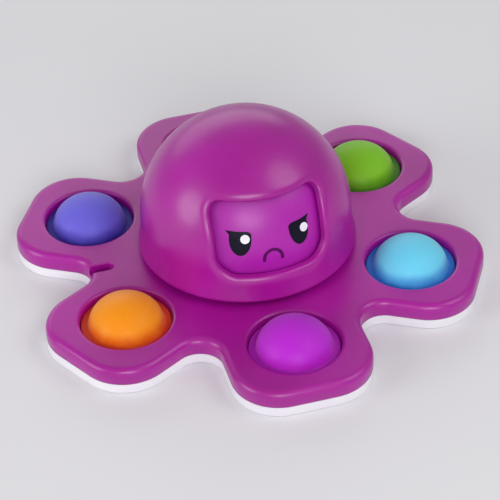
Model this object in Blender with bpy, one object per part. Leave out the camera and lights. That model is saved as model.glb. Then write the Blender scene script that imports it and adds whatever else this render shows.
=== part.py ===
"""Octopus push-bubble spinner: a six-armed two-part shell with silicone bubbles, on a ball bearing
under a helmet that holds a turning drum of faces. Metres, +Z up, standing on z = 0, face towards -Y."""

import math

import bmesh
import bpy

MM = 0.001

# Clearances
SEAT_GAP = 0.3 * MM  # between pieces that touch
TURN_GAP = 0.8 * MM  # between pieces that turn past each other

# Head
HEAD_RADIUS = 29 * MM
HEAD_FLARE = 1.3 * MM  # how far the helmet's rim stands out past its dome
HEAD_CENTRE_HEIGHT = 10.35 * MM  # above the arms
HEAD_GAP = 1.4 * MM  # between the arms and the helmet's rim
HELMET_WALL = 2.2 * MM
DRUM_WALL = 1.8 * MM
NECK_THICKNESS = 1.6 * MM
NECK_TO_CARRIER = 1.5 * MM
CARRIER_THICKNESS = 1.5 * MM
WINDOW_DEPTH = 8 * MM  # the window's cutter starts this far behind the dome's front
WINDOW_REACH = 4 * MM  # and ends this far before it
WINDOW_INNER = {"half_width": 13.2 * MM, "low": 10.6 * MM, "high": 28.3 * MM, "corner": 3.5 * MM}
WINDOW_OUTER = {"half_width": 17.4 * MM, "low": 8.6 * MM, "high": 32.4 * MM, "corner": 5.5 * MM}

# Bubbles
BUBBLE_RADIUS = 10.2 * MM
BUBBLE_HEIGHT = 8.0 * MM  # ledge to the crown
BUBBLE_WALL = 1.1 * MM
BUBBLE_LEDGE = 2.2 * MM  # level ring that shows round the bubble
LEDGE_RISE = 2.1 * MM  # the ledge over the clamped flange
HEAD_TO_BUBBLE = 5.5 * MM
FLANGE_THICKNESS = 0.8 * MM
CROWN_ANGLE = math.radians(40)  # the rigid crown's half angle
WELL_ROUND = 0.9 * MM
WELL_WALL = 1.8 * MM

# Arms
ARM_COUNT = 6
ARM_RIM = 6.6 * MM  # plate beside a well
ARM_FLAT = 6 * MM  # half the straight stretch across an arm's end
VALLEY_RADIUS = 6.5 * MM
BOTTOM_HEIGHT = 3.0 * MM
TOP_HEIGHT = 4.8 * MM
SHELL_WALL = 1.8 * MM
SHELL_SKIN = 1.5 * MM
SLOT_VALLEY = 4.5  # arms round from the first one to the slotted valley
SLOT_HALF_WIDTH = 1.55 * MM
SLOT_LENGTH = 6.4 * MM  # inwards from the valley's edge
SLOT_DEPTH = 3.0 * MM
SLOT_STEPS = 4
TOP_ROUND = 1.5 * MM
BOTTOM_ROUND = 0.8 * MM
BUBBLE_COLOURS = {
    "magenta": (0.55, 0.03, 0.72),
    "cyan": (0.11, 0.62, 0.90),
    "green": (0.24, 0.50, 0.02),
    "red": (0.80, 0.03, 0.05),
    "violet": (0.15, 0.10, 0.65),
    "orange": (1.00, 0.28, 0.00),
}

# Bearing
RACE_SPAN = 4.0 * MM  # bearing bore to bearing outside
BEARING_WIDTH = 4.0 * MM
BALL_COUNT = 9
BALL_RADIUS = 1.0 * MM
BALL_CLEARANCE = 0.15 * MM
RACE_LIP = 0.3 * MM  # how far a race's shoulder stands past the ball's edge
CAGE_HALF_WIDTH = 0.45 * MM

# Centre shafts and knob
SHAFT_RADIUS = 2.5 * MM
HUB_WALL = 1.1 * MM
HUB_FIT = 0.1 * MM  # between the hub and the bearing's inner race
CLIP_WIDTH = 1.0 * MM
CLIP_THICKNESS = 0.5 * MM
KNOB_RADIUS = 16 * MM
KNOB_LIFT = 0.4 * MM  # the knob stays this far off the table
KNOB_THICKNESS = 2.3 * MM
KNOB_NOTCHES = 18
NOTCH_RADIUS = 0.9 * MM
DISH_RADIUS = 12 * MM
DISH_DEPTH = 0.9 * MM
CUP_SKIN = 0.7 * MM

# Screws
SCREW_TO_VALLEY = 9.5 * MM
SCREW_RADIUS = 1.0 * MM
SCREW_HEAD_RADIUS = 2.1 * MM
SCREW_HEAD_HEIGHT = 1.1 * MM
SCREW_SINK = 0.5 * MM  # the head stays this far off the table
CROSS_HALF_WIDTH = 0.3 * MM
CROSS_HALF_LENGTH = 1.2 * MM
CROSS_DEPTH = 0.5 * MM
BOSS_WALL = 1.5 * MM

# Detent leaf
LEAF_CIRCLE = 15 * MM
LEAF_HALF_LENGTH = 6 * MM
LEAF_HALF_WIDTH = 2 * MM
LEAF_THICKNESS = 0.3 * MM
FACE_COUNT = 4
DIMPLE_DEPTH = 0.5 * MM
DIMPLE_RADIUS = 1.2 * MM

# Places in plan that follow from the sizes above
HEAD_RIM_RADIUS = HEAD_RADIUS + HEAD_FLARE
WELL_RADIUS = BUBBLE_RADIUS + BUBBLE_LEDGE
BUBBLE_CIRCLE = HEAD_RIM_RADIUS + HEAD_TO_BUBBLE + BUBBLE_RADIUS
ARM_HALF_WIDTH = WELL_RADIUS + ARM_RIM
ARM_END = BUBBLE_CIRCLE + ARM_HALF_WIDTH
ARM_CORNER = ARM_HALF_WIDTH - ARM_FLAT
VALLEY_CIRCLE = (ARM_HALF_WIDTH + VALLEY_RADIUS) / math.sin(math.pi / ARM_COUNT)
SCREW_CIRCLE = VALLEY_CIRCLE - VALLEY_RADIUS - SCREW_TO_VALLEY

# Heights that follow
TOP = BOTTOM_HEIGHT + TOP_HEIGHT
FLANGE_LOW = BOTTOM_HEIGHT
FLANGE_HIGH = FLANGE_LOW + FLANGE_THICKNESS
LEDGE_HIGH = FLANGE_HIGH + LEDGE_RISE
KNOB_TOP = KNOB_LIFT + KNOB_THICKNESS
CUP_CEILING = KNOB_TOP + SEAT_GAP
BEARING_LOW = CUP_CEILING + CUP_SKIN + SEAT_GAP
BEARING_HIGH = BEARING_LOW + BEARING_WIDTH
BEARING_MIDDLE = BEARING_LOW + BEARING_WIDTH / 2
COLLAR_TOP = BEARING_HIGH + 2 * SEAT_GAP
HEAD_BASE = max(TOP + HEAD_GAP, COLLAR_TOP + SEAT_GAP)
HEAD_CENTRE = TOP + HEAD_CENTRE_HEIGHT
NECK_TOP = HEAD_BASE + NECK_THICKNESS
CARRIER_LOW = NECK_TOP + NECK_TO_CARRIER
CARRIER_HIGH = CARRIER_LOW + CARRIER_THICKNESS
HUB_BORE = SHAFT_RADIUS + SEAT_GAP
HUB_RADIUS = HUB_BORE + HUB_WALL
BEARING_BORE = HUB_RADIUS + HUB_FIT
BEARING_OUTER = BEARING_BORE + RACE_SPAN
BALL_CIRCLE = (BEARING_BORE + BEARING_OUTER) / 2
KNOB_BORE_CLEAR = HUB_RADIUS + CLIP_WIDTH + SEAT_GAP

FIRST_ARM = -math.pi / 2  # the arm under the face
PLASTIC_PURPLE = (0.40, 0.02, 0.35)

# Facets
ROUND_STEPS = 28
WELL_STEPS = 16
SMALL_STEPS = 10
CORNER_STEPS = 3
VALLEY_STEPS = 3
ROUNDING_STEPS = 1
BALL_STEPS = 6


def clear_scene():
    for old in list(bpy.data.objects):
        bpy.data.objects.remove(old)


def material(name, colour, roughness, metallic=0.0):
    made = bpy.data.materials.get(name)
    if made is None:
        made = bpy.data.materials.new(name)
        made.use_nodes = True
        shader = made.node_tree.nodes["Principled BSDF"]
        shader.inputs["Base Color"].default_value = (*colour, 1)
        shader.inputs["Roughness"].default_value = roughness
        shader.inputs["Metallic"].default_value = metallic
    return made


def purple():
    return material("purple_plastic", PLASTIC_PURPLE, 0.3)


def white():
    return material("white_plastic", (0.85, 0.85, 0.85), 0.35)


def steel():
    return material("steel", (0.55, 0.56, 0.58), 0.25, 1.0)


def silicone(colour):
    return material("silicone_" + colour, BUBBLE_COLOURS[colour], 0.5)


def place(name, bm, finish):
    """Turns a bmesh into a named object with its faces pointing out."""
    bmesh.ops.remove_doubles(bm, verts=bm.verts, dist=1e-7)
    bmesh.ops.recalc_face_normals(bm, faces=bm.faces)
    mesh = bpy.data.meshes.new(name)
    bm.to_mesh(mesh)
    bm.free()
    mesh.shade_smooth()
    mesh.set_sharp_from_angle(angle=math.radians(35))
    made = bpy.data.objects.new(name, mesh)
    bpy.context.scene.collection.objects.link(made)
    if finish is not None:
        mesh.materials.append(finish)
    return made


def turn(bm, profile, steps, centre=(0, 0)):
    """Adds a closed (radius, height) profile turned about a vertical axis at centre."""
    x, y = centre
    ring = [bm.verts.new((x + r, y, z)) for r, z in profile]
    pairs = zip(range(len(ring)), [*range(1, len(ring)), 0])
    edges = [bm.edges.new((ring[i], ring[j])) for i, j in pairs if profile[i][0] > 0 or profile[j][0] > 0]
    bmesh.ops.spin(
        bm,
        geom=ring + edges,
        cent=(x, y, 0),
        axis=(0, 0, 1),
        angle=2 * math.pi,
        steps=steps,
        use_merge=True,
    )
    bmesh.ops.remove_doubles(bm, verts=bm.verts, dist=1e-7)


def turned(name, profile, steps, finish, centre=(0, 0)):
    bm = bmesh.new()
    turn(bm, profile, steps, centre)
    return place(name, bm, finish)


def disc(radius, low, high):
    """The profile of a plain cylinder."""
    return [(0, low), (radius, low), (radius, high), (0, high)]


def tube(inner, outer, low, high):
    return [(inner, low), (outer, low), (outer, high), (inner, high)]


def cutter(name, bm):
    made = place(name, bm, None)
    made.hide_render = True
    made.display_type = "WIRE"
    return made


def boolean(target, other, operation, solver="EXACT"):
    step = target.modifiers.new(operation.lower(), "BOOLEAN")
    step.operation = operation
    step.solver = solver
    step.object = other
    return target


def round_cutter(name, profiles):
    """One cutter of several turned solids that stay clear of each other: [(profile, centre, steps)]."""
    bm = bmesh.new()
    for profile, centre, steps in profiles:
        turn(bm, profile, steps, centre)
    return cutter(name, bm)


def arm_angle(k):
    return FIRST_ARM + k * 2 * math.pi / ARM_COUNT


def around(radius, angle):
    return radius * math.cos(angle), radius * math.sin(angle)


def bubble_centre(k):
    return around(BUBBLE_CIRCLE, arm_angle(k))


def screw_centre(k):
    return around(SCREW_CIRCLE, arm_angle(k + 0.5))


def arc(centre, radius, start, end, steps):
    angles = [start + (end - start) * i / steps for i in range(steps + 1)]
    return [(centre[0] + radius * math.cos(a), centre[1] + radius * math.sin(a)) for a in angles]


def outline(inset):
    """The six-armed outline, moved in by inset: arms with two round corners, joined by round valleys."""
    half_pitch = math.pi / ARM_COUNT
    points = []
    for k in range(ARM_COUNT):
        turn_by = arm_angle(k)
        length, side = ARM_END - ARM_CORNER, ARM_HALF_WIDTH - ARM_CORNER
        corner = ARM_CORNER - inset
        valley = around(VALLEY_CIRCLE, half_pitch)
        local = arc((length, -side), corner, -math.pi / 2, 0, CORNER_STEPS)
        local += arc((length, side), corner, 0, math.pi / 2, CORNER_STEPS)
        start = -math.pi / 2
        end = -3 * math.pi / 2 + 2 * half_pitch
        local += arc(valley, VALLEY_RADIUS + inset, start, end, VALLEY_STEPS)
        c, s = math.cos(turn_by), math.sin(turn_by)
        points += [(x * c - y * s, x * s + y * c) for x, y in local]
    return points


def stack(bm, levels):
    """A solid from rings of equal point count, lowest first, closed by a face at each end."""
    rings = [[bm.verts.new((x, y, z)) for x, y in points] for points, z in levels]
    count = len(rings[0])
    for low, high in zip(rings, rings[1:]):
        for i in range(count):
            j = (i + 1) % count
            bm.faces.new((low[i], low[j], high[j], high[i]))
    bm.faces.new(rings[0][::-1])
    bm.faces.new(rings[-1])


def rounded_levels(low, high, rounding, at_top, steps=ROUNDING_STEPS):
    """Levels of the arm outline with one rounded edge."""
    levels = []
    for i in range(steps + 1):
        a = math.pi / 2 * i / steps
        inset = rounding * (1 - math.cos(a))
        rise = rounding * math.sin(a)
        levels.append((outline(inset), high - rounding + rise if at_top else low + rounding - rise))
    if at_top:
        return [(outline(0), low)] + levels
    return levels[::-1] + [(outline(0), high)]


def well_profile(radius, inside, face, outwards):
    """A well's cutter: a straight wall from inside to a rounded rim at the shell's face."""
    beyond = face + outwards * 2 * MM
    rim = []
    for i in range(ROUNDING_STEPS + 1):
        a = math.pi / 2 * i / ROUNDING_STEPS
        flare = radius + WELL_ROUND * (1 - math.cos(a))
        rim.append((flare, face + outwards * (WELL_ROUND * math.sin(a) - WELL_ROUND)))
    return [(0, inside), (radius, inside)] + rim + [(radius + WELL_ROUND, beyond), (0, beyond)]


def well_cutters(inside, face, outwards):
    profile = well_profile(WELL_RADIUS, inside, face, outwards)
    return [(profile, bubble_centre(k), WELL_STEPS) for k in range(ARM_COUNT)]


def shell(name, outer, hollow, additions, cuts, finish):
    """A shell: the outer solid less its hollow, plus its collars and bosses, less its holes."""
    bm = bmesh.new()
    stack(bm, outer)
    made = place(name, bm, finish)
    bm = bmesh.new()
    stack(bm, hollow)
    # EXACT drops a wall of some wells here
    boolean(made, cutter(name + "_hollow", bm), "DIFFERENCE", "MANIFOLD")
    boolean(made, round_cutter(name + "_additions", additions), "UNION", "MANIFOLD")
    boolean(made, round_cutter(name + "_cuts", cuts), "DIFFERENCE", "MANIFOLD")
    return made


def slot_outline(start, end, half_width):
    """A strip along the slotted valley's middle line, round at its inner end."""
    local = arc((start + half_width, 0), half_width, math.pi / 2, 3 * math.pi / 2, SLOT_STEPS)
    local += [(end, -half_width), (end, half_width)]
    c, s = around(1, arm_angle(SLOT_VALLEY))
    return [(x * c - y * s, x * s + y * c) for x, y in local]


def add_slot(made, low, inside):
    """A slot from the valley's edge, open at the top, with walls of its own under the skin."""
    edge = VALLEY_CIRCLE - VALLEY_RADIUS
    start = edge - SLOT_LENGTH
    walls = slot_outline(start - BOSS_WALL, edge - SHELL_WALL / 2, SLOT_HALF_WIDTH + BOSS_WALL)
    opening = slot_outline(start, edge + VALLEY_RADIUS, SLOT_HALF_WIDTH)
    bm = bmesh.new()
    stack(bm, [(walls, low), (walls, inside)])
    boolean(made, cutter("slot_walls", bm), "UNION", "MANIFOLD")
    bm = bmesh.new()
    stack(bm, [(opening, TOP - SLOT_DEPTH), (opening, TOP + MM)])
    boolean(made, cutter("slot_opening", bm), "DIFFERENCE", "MANIFOLD")
    return made


def top_shell():
    low = BOTTOM_HEIGHT + SEAT_GAP
    skin = TOP - SHELL_SKIN
    inside = TOP - SHELL_SKIN / 2  # additions end inside the skin
    collar = WELL_RADIUS + WELL_WALL
    hub_collar = BEARING_OUTER + SEAT_GAP + WELL_WALL
    additions = [
        (disc(collar, FLANGE_HIGH + SEAT_GAP, inside), bubble_centre(k), WELL_STEPS)
        for k in range(ARM_COUNT)
    ]
    additions += [
        (disc(SCREW_RADIUS + BOSS_WALL, low + SEAT_GAP, inside), screw_centre(k), SMALL_STEPS)
        for k in range(ARM_COUNT)
    ]
    additions += [(disc(hub_collar, BEARING_LOW, COLLAR_TOP), (0, 0), ROUND_STEPS)]
    pocket = BEARING_OUTER + SEAT_GAP
    lip = BEARING_OUTER - SEAT_GAP
    bearing_seat = [
        (0, low - MM),
        (pocket, low - MM),
        (pocket, BEARING_HIGH + SEAT_GAP),
        (lip, BEARING_HIGH + SEAT_GAP),
        (lip, COLLAR_TOP + MM),
        (0, COLLAR_TOP + MM),
    ]
    cuts = well_cutters(low - MM, TOP, 1)
    cuts += [
        (disc(SCREW_RADIUS + SEAT_GAP / 2, low - MM, skin), screw_centre(k), SMALL_STEPS)
        for k in range(ARM_COUNT)
    ]
    cuts += [(bearing_seat, (0, 0), ROUND_STEPS)]
    hollow = [(outline(SHELL_WALL), low - MM), (outline(SHELL_WALL), skin)]
    levels = rounded_levels(low, TOP, TOP_ROUND, True)
    made = shell("top_shell", levels, hollow, additions, cuts, purple())
    return add_slot(made, low + SEAT_GAP, inside)


def bottom_shell():
    high = BOTTOM_HEIGHT
    inside = SHELL_SKIN / 2
    collar = WELL_RADIUS + WELL_WALL
    cup = KNOB_RADIUS + TURN_GAP
    head_room = SCREW_SINK + SCREW_HEAD_HEIGHT
    additions = [
        (disc(collar, inside, FLANGE_LOW - SEAT_GAP), bubble_centre(k), WELL_STEPS)
        for k in range(ARM_COUNT)
    ]
    additions += [
        (disc(SCREW_HEAD_RADIUS + BOSS_WALL, inside, high), screw_centre(k), SMALL_STEPS)
        for k in range(ARM_COUNT)
    ]
    additions += [(disc(cup + WELL_WALL, inside, CUP_CEILING + CUP_SKIN), (0, 0), ROUND_STEPS)]
    cuts = well_cutters(high + MM, 0, -1)
    cuts += [
        (disc(SCREW_HEAD_RADIUS + SEAT_GAP, -MM, head_room + SEAT_GAP / 2), screw_centre(k), SMALL_STEPS)
        for k in range(ARM_COUNT)
    ]
    made = shell(
        "bottom_shell",
        rounded_levels(0, high, BOTTOM_ROUND, False),
        [(outline(SHELL_WALL), SHELL_SKIN), (outline(SHELL_WALL), high + MM)],
        additions,
        cuts,
        white(),
    )
    shank = disc(SCREW_RADIUS + SEAT_GAP, head_room / 2, high + MM)
    through = [(shank, screw_centre(k), SMALL_STEPS) for k in range(ARM_COUNT)]
    knob_room = [
        (0, -MM),
        (cup, -MM),
        (cup, CUP_CEILING),
        (KNOB_BORE_CLEAR, CUP_CEILING),
        (KNOB_BORE_CLEAR, CUP_CEILING + CUP_SKIN + MM),
        (0, CUP_CEILING + CUP_SKIN + MM),
    ]
    through.append((knob_room, (0, 0), ROUND_STEPS))
    return boolean(made, round_cutter("bottom_shell_through", through), "DIFFERENCE", "MANIFOLD")


def dome_point(angle, thickness=0.0):
    """A point of the bubble's half-ellipse, angle from the crown, on the face this far inside."""
    radius = (BUBBLE_RADIUS - thickness) * math.sin(angle)
    return radius, LEDGE_HIGH + (BUBBLE_HEIGHT - thickness) * math.cos(angle)


def bubble(k, colour):
    """A silicone bubble in two pieces: the crown that pops through, and the skirt, ledge and flange."""
    steps = 3
    centre = bubble_centre(k)
    crown = [dome_point(CROWN_ANGLE * i / steps) for i in range(steps + 1)]
    crown += [dome_point(CROWN_ANGLE * (1 - i / steps), BUBBLE_WALL) for i in range(steps + 1)]
    made = turned("bubble_crown_" + colour, crown, WELL_STEPS, silicone(colour), centre)
    gap = SEAT_GAP / BUBBLE_RADIUS
    start = CROWN_ANGLE + gap
    low_angle = math.pi / 2
    outer = [dome_point(start + (low_angle - start) * i / steps) for i in range(steps + 1)]
    inner = [dome_point(low_angle - (low_angle - start) * i / steps, BUBBLE_WALL) for i in range(steps + 1)]
    step = WELL_RADIUS - SEAT_GAP
    flange = WELL_RADIUS + WELL_WALL - SEAT_GAP
    skirt = outer + [(step, LEDGE_HIGH), (step, FLANGE_HIGH), (flange, FLANGE_HIGH), (flange, FLANGE_LOW)]
    step -= BUBBLE_WALL
    skirt += [(step, FLANGE_LOW), (step, LEDGE_HIGH - BUBBLE_WALL), (inner[0][0], LEDGE_HIGH - BUBBLE_WALL)]
    skirt += inner
    turned("bubble_skirt_" + colour, skirt, WELL_STEPS, silicone(colour), centre)
    return made


def head_profile(inwards, base, steps=7):
    """The helmet's outside moved in: a cone tangent to a sphere, from base up to the crown."""
    radius = HEAD_RADIUS - inwards
    drop = HEAD_CENTRE - HEAD_BASE
    reach = math.hypot(HEAD_RIM_RADIUS, drop)
    tangent = math.acos(HEAD_RADIUS / reach) - math.atan2(drop, HEAD_RIM_RADIUS)
    below = HEAD_CENTRE - base
    foot = ((radius + below * math.sin(tangent)) / math.cos(tangent), base)
    points = [foot]
    for i in range(steps + 1):
        a = tangent + (math.pi / 2 - tangent) * i / steps
        points.append((radius * math.cos(a), HEAD_CENTRE + radius * math.sin(a)))
    points[-1] = (0, HEAD_CENTRE + radius)
    return points


def rounded_rectangle(half_width, low, high, corner, steps=4):
    x, bottom, top = half_width - corner, TOP + low + corner, TOP + high - corner
    points = arc((x, top), corner, 0, math.pi / 2, steps)
    points += arc((-x, top), corner, math.pi / 2, math.pi, steps)
    points += arc((-x, bottom), corner, math.pi, 3 * math.pi / 2, steps)
    return points + arc((x, bottom), corner, 3 * math.pi / 2, 2 * math.pi, steps)


def helmet():
    outside = head_profile(0, HEAD_BASE)
    inside = head_profile(HELMET_WALL, HEAD_BASE)
    made = turned("helmet", outside + inside[::-1], ROUND_STEPS, purple())
    bm = bmesh.new()
    rings = []
    for sizes, distance in ((WINDOW_INNER, -WINDOW_DEPTH), (WINDOW_OUTER, WINDOW_REACH)):
        points = rounded_rectangle(**sizes)
        rings.append([bm.verts.new((x, -HEAD_RADIUS - distance, z)) for x, z in points])
    count = len(rings[0])
    for i in range(count):
        j = (i + 1) % count
        bm.faces.new((rings[0][i], rings[0][j], rings[1][j], rings[1][i]))
    bm.faces.new(rings[0])
    bm.faces.new(rings[1][::-1])
    return boolean(made, cutter("helmet_window", bm), "DIFFERENCE")


def inner_radius(height):
    """The helmet's inside radius at a height on its cone."""
    foot, tangent_point = head_profile(HELMET_WALL, HEAD_BASE)[:2]
    share = (height - foot[1]) / (tangent_point[1] - foot[1])
    return foot[0] + (tangent_point[0] - foot[0]) * share


def neck_plate():
    """The disc that closes the helmet, with the hub that carries the bearing's inner race."""
    rim = inner_radius(NECK_TOP) - SEAT_GAP
    shoulder = HUB_RADIUS + CLIP_WIDTH
    foot = BEARING_LOW - CLIP_THICKNESS - 2 * SEAT_GAP
    profile = [
        (HUB_BORE, NECK_TOP),
        (HUB_BORE, foot),
        (HUB_RADIUS, foot),
        (HUB_RADIUS, BEARING_HIGH + SEAT_GAP),
        (shoulder, BEARING_HIGH + SEAT_GAP),
        (shoulder, HEAD_BASE),
        (rim, HEAD_BASE),
        (rim, NECK_TOP),
    ]
    return turned("neck_plate", profile, ROUND_STEPS, purple())


def hub_clip():
    low = BEARING_LOW - CLIP_THICKNESS - SEAT_GAP
    profile = tube(HUB_RADIUS + SEAT_GAP / 2, HUB_RADIUS + CLIP_WIDTH, low, low + CLIP_THICKNESS)
    return turned("hub_clip", profile, ROUND_STEPS, steel())


def drum():
    """The hollow drum that carries the faces, and the disc and shaft that turn it."""
    offset = HELMET_WALL + TURN_GAP
    base = CARRIER_LOW
    outside = head_profile(offset, base)
    inside = head_profile(offset + DRUM_WALL, base)
    turned("face_drum", outside + inside[::-1], ROUND_STEPS, purple())
    rim = inside[1][0] - SEAT_GAP
    profile = [
        (0, CARRIER_HIGH),
        (0, KNOB_TOP + SEAT_GAP),
        (SHAFT_RADIUS, KNOB_TOP + SEAT_GAP),
        (SHAFT_RADIUS, CARRIER_LOW),
        (rim, CARRIER_LOW),
        (rim, CARRIER_HIGH),
    ]
    carrier = turned("drum_carrier", profile[::-1], ROUND_STEPS, purple())
    bore = disc(SCREW_RADIUS + SEAT_GAP / 2, -MM, CARRIER_LOW)
    dimple = disc(DIMPLE_RADIUS, CARRIER_LOW - MM, CARRIER_LOW + DIMPLE_DEPTH)
    places = [around(LEAF_CIRCLE, FIRST_ARM + k * 2 * math.pi / FACE_COUNT) for k in range(FACE_COUNT)]
    cuts = [(bore, (0, 0), SMALL_STEPS)] + [(dimple, at, SMALL_STEPS) for at in places]
    boolean(carrier, round_cutter("drum_carrier_cuts", cuts), "DIFFERENCE")


def detent_leaf():
    """A spring-steel strip on the neck plate whose bump rides round the carrier's dimples."""
    low = NECK_TOP + SEAT_GAP
    high = low + LEAF_THICKNESS
    crest = CARRIER_LOW - SEAT_GAP / 2
    bump = 1.5 * MM
    upper = [
        (-LEAF_HALF_LENGTH, high),
        (-bump, high),
        (0, crest),
        (bump, high),
        (LEAF_HALF_LENGTH, high),
    ]
    lower = [
        (LEAF_HALF_LENGTH, low),
        (bump, low),
        (0, crest - LEAF_THICKNESS),
        (-bump, low),
        (-LEAF_HALF_LENGTH, low),
    ]
    bm = bmesh.new()
    sides = [
        [bm.verts.new((x, -LEAF_CIRCLE + side * LEAF_HALF_WIDTH, z)) for x, z in upper + lower]
        for side in (-1, 1)
    ]
    count = len(sides[0])
    for i in range(count):
        j = (i + 1) % count
        bm.faces.new((sides[0][i], sides[0][j], sides[1][j], sides[1][i]))
    bm.faces.new(sides[0])
    bm.faces.new(sides[1][::-1])
    return place("detent_leaf", bm, steel())


def bearing():
    low, high = BEARING_LOW, BEARING_HIGH
    groove = BALL_RADIUS + BALL_CLEARANCE
    shoulder = BALL_RADIUS - RACE_LIP
    middle = BEARING_MIDDLE
    rise = math.sqrt(groove**2 - shoulder**2)
    start = math.asin(rise / groove)
    curve = [start - 2 * start * i / BALL_STEPS for i in range(BALL_STEPS + 1)]
    outer_groove = [(BALL_CIRCLE + groove * math.cos(a), middle + groove * math.sin(a)) for a in curve]
    inner_groove = [(BALL_CIRCLE - groove * math.cos(a), middle + groove * math.sin(a)) for a in curve]
    outer = [(BEARING_OUTER, low), (BEARING_OUTER, high), (BALL_CIRCLE + shoulder, high)]
    outer += outer_groove + [(BALL_CIRCLE + shoulder, low)]
    turned("bearing_outer_race", outer, ROUND_STEPS, steel())
    inner = [(BEARING_BORE, low), (BEARING_BORE, high)]
    inner += [(BALL_CIRCLE - shoulder, high)] + inner_groove + [(BALL_CIRCLE - shoulder, low)]
    turned("bearing_inner_race", inner, ROUND_STEPS, steel())
    cage = turned(
        "bearing_cage",
        tube(
            BALL_CIRCLE - CAGE_HALF_WIDTH,
            BALL_CIRCLE + CAGE_HALF_WIDTH,
            middle - BALL_RADIUS - 2 * CAGE_HALF_WIDTH,
            middle + CAGE_HALF_WIDTH,
        ),
        BALL_COUNT * 4,
        steel(),
    )
    pockets = []
    for i in range(BALL_COUNT):
        at = around(BALL_CIRCLE, 2 * math.pi * i / BALL_COUNT)
        turned(f"bearing_ball_{i + 1}", ball_profile(BALL_RADIUS, middle), SMALL_STEPS, steel(), at)
        pockets.append((ball_profile(groove, middle), at, SMALL_STEPS))
    boolean(cage, round_cutter("bearing_cage_pockets", pockets), "DIFFERENCE")


def ball_profile(radius, height):
    angles = [-math.pi / 2 + math.pi * i / BALL_STEPS for i in range(BALL_STEPS + 1)]
    points = [(radius * math.cos(a), height + radius * math.sin(a)) for a in angles]
    points[0], points[-1] = (0, height - radius), (0, height + radius)
    return points


def finger_knob():
    """The dished, notched disc under the toy that turns the drum."""
    edge = 0.5 * MM
    profile = [
        (0, KNOB_TOP),
        (KNOB_RADIUS, KNOB_TOP),
        (KNOB_RADIUS, KNOB_LIFT + edge),
        (KNOB_RADIUS - edge, KNOB_LIFT),
        (DISH_RADIUS, KNOB_LIFT),
        (DISH_RADIUS * 0.8, KNOB_LIFT + DISH_DEPTH * 0.8),
        (DISH_RADIUS * 0.5, KNOB_LIFT + DISH_DEPTH),
        (0, KNOB_LIFT + DISH_DEPTH),
    ]
    made = turned("finger_knob", profile[::-1], 2 * KNOB_NOTCHES, white())
    notch = disc(NOTCH_RADIUS, -MM, KNOB_TOP + MM)
    cuts = [
        (notch, around(KNOB_RADIUS + NOTCH_RADIUS * 0.4, 2 * math.pi * i / KNOB_NOTCHES), 8)
        for i in range(KNOB_NOTCHES)
    ]
    cuts.append((disc(SCREW_RADIUS + SEAT_GAP, -MM, KNOB_TOP + MM), (0, 0), SMALL_STEPS))
    return boolean(made, round_cutter("finger_knob_cuts", cuts), "DIFFERENCE")


def screw(name, centre, head_low, head_height, tip):
    """A cross-head screw, head down, from head_low up to its tip."""
    seat = head_low + head_height
    profile = [
        (0, head_low),
        (SCREW_HEAD_RADIUS, head_low),
        (SCREW_HEAD_RADIUS, seat),
        (SCREW_RADIUS, seat),
        (SCREW_RADIUS, tip - SCREW_RADIUS / 2),
        (0, tip),
    ]
    made = turned(name, profile, SMALL_STEPS, steel(), centre)
    arm, half = CROSS_HALF_LENGTH, CROSS_HALF_WIDTH
    section = []
    for i in range(4):
        c, s = round(math.cos(i * math.pi / 2)), round(math.sin(i * math.pi / 2))
        for x, y in ((half, -half), (arm, -half), (arm, half)):
            section.append((centre[0] + x * c - y * s, centre[1] + x * s + y * c))
    bm = bmesh.new()
    stack(bm, [(section, head_low - MM), (section, head_low + CROSS_DEPTH)])
    return boolean(made, cutter(name + "_cross", bm), "DIFFERENCE")


def screws():
    tip = TOP - SHELL_SKIN - SEAT_GAP
    for k in range(ARM_COUNT):
        screw(f"shell_screw_{k + 1}", screw_centre(k), SCREW_SINK, SCREW_HEAD_HEIGHT, tip)
    dish = KNOB_LIFT + DISH_DEPTH
    head_height = dish - SCREW_SINK - SEAT_GAP / 2
    screw("knob_screw", (0, 0), SCREW_SINK, head_height, CARRIER_LOW - SEAT_GAP)


def main():
    clear_scene()
    top_shell()
    bottom_shell()
    for k, colour in enumerate(BUBBLE_COLOURS):
        bubble(k, colour)
    bearing()
    helmet()
    neck_plate()
    hub_clip()
    drum()
    detent_leaf()
    finger_knob()
    screws()


main()
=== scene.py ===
import math

import bmesh
import bpy
import numpy as np
from mathutils import Matrix, Vector


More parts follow.
